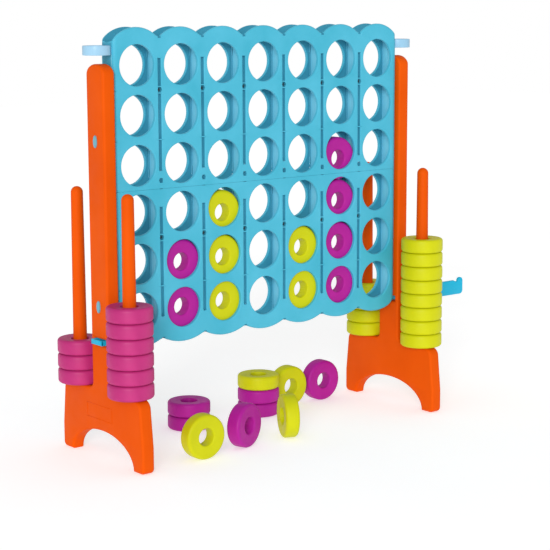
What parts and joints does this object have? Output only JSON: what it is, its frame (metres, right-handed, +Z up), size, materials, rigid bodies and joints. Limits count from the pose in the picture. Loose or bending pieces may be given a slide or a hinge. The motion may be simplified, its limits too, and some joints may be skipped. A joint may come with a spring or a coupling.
{
  "type": "giant four in a row game",
  "caption": "Standing lawn game: scalloped grid board between arched legs, ring posts at the feet, a pull-out release gate, and thick rings in columns, on posts and on the ground.",
  "frame": {"origin": "on the ground, in the middle of the box around the whole game as stored; the board stands 120 mm to the left of it because the gate handle sticks out on the right", "axes": "+X along the board towards the gate handle, +Y from the front of the board to its back, +Z up"},
  "size_m": [1.4496, 0.408, 1.1923],
  "materials": {
    "board_blue": "moulded sky blue plastic, satin gloss",
    "pale_blue": "moulded pale blue plastic, satin gloss",
    "gate_cyan": "moulded cyan plastic, satin gloss",
    "leg_orange": "blow-moulded orange plastic, satin",
    "ring_purple": "blow-moulded purple plastic, satin",
    "ring_yellow": "blow-moulded yellow-green plastic, satin"
  },
  "bodies": {
    "root": {"front_panel_upper": "board_blue", "front_panel_lower": "board_blue", "rear_panel_upper": "board_blue", "rear_panel_lower": "board_blue", "left_leg": "leg_orange", "right_leg": "leg_orange", "left_corner_hoop": "pale_blue", "right_corner_hoop": "pale_blue", "left_upper_plug": "pale_blue", "left_lower_plug": "pale_blue", "right_upper_plug": "pale_blue", "right_lower_plug": "pale_blue", "rear_left_post": "leg_orange", "front_left_post": "leg_orange", "front_right_post": "leg_orange", "rear_right_post": "leg_orange"},
    "release_gate": {"release_gate": "gate_cyan"},
    "purple_column2_1": {"purple_column2_1": "ring_purple"},
    "purple_column2_2": {"purple_column2_2": "ring_purple"},
    "yellow_column3_1": {"yellow_column3_1": "ring_yellow"},
    "yellow_column3_2": {"yellow_column3_2": "ring_yellow"},
    "yellow_column3_3": {"yellow_column3_3": "ring_yellow"},
    "yellow_column5_1": {"yellow_column5_1": "ring_yellow"},
    "yellow_column5_2": {"yellow_column5_2": "ring_yellow"},
    "purple_column6_1": {"purple_column6_1": "ring_purple"},
    "purple_column6_2": {"purple_column6_2": "ring_purple"},
    "purple_column6_3": {"purple_column6_3": "ring_purple"},
    "purple_column6_4": {"purple_column6_4": "ring_purple"},
    "purple_rear_left_1": {"purple_rear_left_1": "ring_purple"},
    "purple_rear_left_2": {"purple_rear_left_2": "ring_purple"},
    "purple_rear_left_3": {"purple_rear_left_3": "ring_purple"},
    "purple_front_left_1": {"purple_front_left_1": "ring_purple"},
    "purple_front_left_2": {"purple_front_left_2": "ring_purple"},
    "purple_front_left_3": {"purple_front_left_3": "ring_purple"},
    "purple_front_left_4": {"purple_front_left_4": "ring_purple"},
    "purple_front_left_5": {"purple_front_left_5": "ring_purple"},
    "purple_front_left_6": {"purple_front_left_6": "ring_purple"},
    "yellow_front_right_1": {"yellow_front_right_1": "ring_yellow"},
    "yellow_front_right_2": {"yellow_front_right_2": "ring_yellow"},
    "yellow_front_right_3": {"yellow_front_right_3": "ring_yellow"},
    "yellow_front_right_4": {"yellow_front_right_4": "ring_yellow"},
    "yellow_front_right_5": {"yellow_front_right_5": "ring_yellow"},
    "yellow_front_right_6": {"yellow_front_right_6": "ring_yellow"},
    "yellow_front_right_7": {"yellow_front_right_7": "ring_yellow"},
    "yellow_front_right_8": {"yellow_front_right_8": "ring_yellow"},
    "yellow_rear_right_1": {"yellow_rear_right_1": "ring_yellow"},
    "yellow_rear_right_2": {"yellow_rear_right_2": "ring_yellow"},
    "yellow_rear_right_3": {"yellow_rear_right_3": "ring_yellow"},
    "yellow_rear_right_4": {"yellow_rear_right_4": "ring_yellow"},
    "purple_ground_a": {"purple_ground_a": "ring_purple"},
    "purple_ground_b": {"purple_ground_b": "ring_purple"},
    "purple_ground_c": {"purple_ground_c": "ring_purple"},
    "purple_ground_d": {"purple_ground_d": "ring_purple"},
    "yellow_ground_e": {"yellow_ground_e": "ring_yellow"},
    "purple_ground_g": {"purple_ground_g": "ring_purple"},
    "yellow_ground_h": {"yellow_ground_h": "ring_yellow"},
    "purple_ground_i": {"purple_ground_i": "ring_purple"},
    "yellow_ground_j": {"yellow_ground_j": "ring_yellow"},
    "yellow_ground_k": {"yellow_ground_k": "ring_yellow"}
  },
  "joints": [
    {"name": "board_gate_pull", "type": "slide", "parent": "root", "child": "release_gate", "axis": [1, 0, 0], "range_m": [0, 0.064]},
    {"name": "column2_ring1_lift", "type": "slide", "parent": "root", "child": "purple_column2_1", "axis": [0, 0, 1], "range_m": [0, 0.8575]},
    {"name": "column2_ring2_lift", "type": "slide", "parent": "purple_column2_1", "child": "purple_column2_2", "axis": [0, 0, 1], "range_m": [0, 0.7292]},
    {"name": "column3_ring1_lift", "type": "slide", "parent": "root", "child": "yellow_column3_1", "axis": [0, 0, 1], "range_m": [0, 0.8575]},
    {"name": "column3_ring2_lift", "type": "slide", "parent": "yellow_column3_1", "child": "yellow_column3_2", "axis": [0, 0, 1], "range_m": [0, 0.7292]},
    {"name": "column3_ring3_lift", "type": "slide", "parent": "yellow_column3_2", "child": "yellow_column3_3", "axis": [0, 0, 1], "range_m": [0, 0.6009]},
    {"name": "column5_ring1_lift", "type": "slide", "parent": "root", "child": "yellow_column5_1", "axis": [0, 0, 1], "range_m": [0, 0.8575]},
    {"name": "column5_ring2_lift", "type": "slide", "parent": "yellow_column5_1", "child": "yellow_column5_2", "axis": [0, 0, 1], "range_m": [0, 0.7292]},
    {"name": "column6_ring1_lift", "type": "slide", "parent": "root", "child": "purple_column6_1", "axis": [0, 0, 1], "range_m": [0, 0.8575]},
    {"name": "column6_ring2_lift", "type": "slide", "parent": "purple_column6_1", "child": "purple_column6_2", "axis": [0, 0, 1], "range_m": [0, 0.7292]},
    {"name": "column6_ring3_lift", "type": "slide", "parent": "purple_column6_2", "child": "purple_column6_3", "axis": [0, 0, 1], "range_m": [0, 0.6009]},
    {"name": "column6_ring4_lift", "type": "slide", "parent": "purple_column6_3", "child": "purple_column6_4", "axis": [0, 0, 1], "range_m": [0, 0.4726]},
    {"name": "rear_left_post_ring1_lift", "type": "slide", "parent": "root", "child": "purple_rear_left_1", "axis": [0, 0, 1], "range_m": [0, 0.5627]},
    {"name": "rear_left_post_ring2_lift", "type": "slide", "parent": "purple_rear_left_1", "child": "purple_rear_left_2", "axis": [0, 0, 1], "range_m": [0, 0.5204]},
    {"name": "rear_left_post_ring3_lift", "type": "slide", "parent": "purple_rear_left_2", "child": "purple_rear_left_3", "axis": [0, 0, 1], "range_m": [0, 0.4781]},
    {"name": "front_left_post_ring1_lift", "type": "slide", "parent": "root", "child": "purple_front_left_1", "axis": [0, 0, 1], "range_m": [0, 0.5627]},
    {"name": "front_left_post_ring2_lift", "type": "slide", "parent": "purple_front_left_1", "child": "purple_front_left_2", "axis": [0, 0, 1], "range_m": [0, 0.5204]},
    {"name": "front_left_post_ring3_lift", "type": "slide", "parent": "purple_front_left_2", "child": "purple_front_left_3", "axis": [0, 0, 1], "range_m": [0, 0.4781]},
    {"name": "front_left_post_ring4_lift", "type": "slide", "parent": "purple_front_left_3", "child": "purple_front_left_4", "axis": [0, 0, 1], "range_m": [0, 0.4358]},
    {"name": "front_left_post_ring5_lift", "type": "slide", "parent": "purple_front_left_4", "child": "purple_front_left_5", "axis": [0, 0, 1], "range_m": [0, 0.3935]},
    {"name": "front_left_post_ring6_lift", "type": "slide", "parent": "purple_front_left_5", "child": "purple_front_left_6", "axis": [0, 0, 1], "range_m": [0, 0.3512]},
    {"name": "front_right_post_ring1_lift", "type": "slide", "parent": "root", "child": "yellow_front_right_1", "axis": [0, 0, 1], "range_m": [0, 0.5627]},
    {"name": "front_right_post_ring2_lift", "type": "slide", "parent": "yellow_front_right_1", "child": "yellow_front_right_2", "axis": [0, 0, 1], "range_m": [0, 0.5204]},
    {"name": "front_right_post_ring3_lift", "type": "slide", "parent": "yellow_front_right_2", "child": "yellow_front_right_3", "axis": [0, 0, 1], "range_m": [0, 0.4781]},
    {"name": "front_right_post_ring4_lift", "type": "slide", "parent": "yellow_front_right_3", "child": "yellow_front_right_4", "axis": [0, 0, 1], "range_m": [0, 0.4358]},
    {"name": "front_right_post_ring5_lift", "type": "slide", "parent": "yellow_front_right_4", "child": "yellow_front_right_5", "axis": [0, 0, 1], "range_m": [0, 0.3935]},
    {"name": "front_right_post_ring6_lift", "type": "slide", "parent": "yellow_front_right_5", "child": "yellow_front_right_6", "axis": [0, 0, 1], "range_m": [0, 0.3512]},
    {"name": "front_right_post_ring7_lift", "type": "slide", "parent": "yellow_front_right_6", "child": "yellow_front_right_7", "axis": [0, 0, 1], "range_m": [0, 0.3089]},
    {"name": "front_right_post_ring8_lift", "type": "slide", "parent": "yellow_front_right_7", "child": "yellow_front_right_8", "axis": [0, 0, 1], "range_m": [0, 0.2666]},
    {"name": "rear_right_post_ring1_lift", "type": "slide", "parent": "root", "child": "yellow_rear_right_1", "axis": [0, 0, 1], "range_m": [0, 0.5627]},
    {"name": "rear_right_post_ring2_lift", "type": "slide", "parent": "yellow_rear_right_1", "child": "yellow_rear_right_2", "axis": [0, 0, 1], "range_m": [0, 0.5204]},
    {"name": "rear_right_post_ring3_lift", "type": "slide", "parent": "yellow_rear_right_2", "child": "yellow_rear_right_3", "axis": [0, 0, 1], "range_m": [0, 0.4781]},
    {"name": "rear_right_post_ring4_lift", "type": "slide", "parent": "yellow_rear_right_3", "child": "yellow_rear_right_4", "axis": [0, 0, 1], "range_m": [0, 0.4358]},
    {"name": "ground_a_ring_lift", "type": "slide", "parent": "root", "child": "purple_ground_a", "axis": [0, 0, 1], "range_m": [0, 0.25]},
    {"name": "ground_b_ring_lift", "type": "slide", "parent": "purple_ground_a", "child": "purple_ground_b", "axis": [0, 0, 1], "range_m": [0, 0.25]},
    {"name": "ground_c_ring_lift", "type": "slide", "parent": "root", "child": "purple_ground_c", "axis": [0, 0, 1], "range_m": [0, 0.25]},
    {"name": "ground_d_ring_lift", "type": "slide", "parent": "purple_ground_c", "child": "purple_ground_d", "axis": [0, 0, 1], "range_m": [0, 0.25]},
    {"name": "ground_e_ring_lift", "type": "slide", "parent": "purple_ground_d", "child": "yellow_ground_e", "axis": [0, 0, 1], "range_m": [0, 0.25]},
    {"name": "ground_g_ring_lift", "type": "slide", "parent": "root", "child": "purple_ground_g", "axis": [0, 0, 1], "range_m": [0, 0.25]},
    {"name": "ground_h_ring_lift", "type": "slide", "parent": "root", "child": "yellow_ground_h", "axis": [0, 0, 1], "range_m": [0, 0.25]},
    {"name": "ground_i_ring_lift", "type": "slide", "parent": "root", "child": "purple_ground_i", "axis": [0, 0, 1], "range_m": [0, 0.25]},
    {"name": "ground_j_ring_lift", "type": "slide", "parent": "root", "child": "yellow_ground_j", "axis": [0, 0, 1], "range_m": [0, 0.25]},
    {"name": "ground_k_ring_lift", "type": "slide", "parent": "root", "child": "yellow_ground_k", "axis": [0, 0, 1], "range_m": [0, 0.25]}
  ]
}
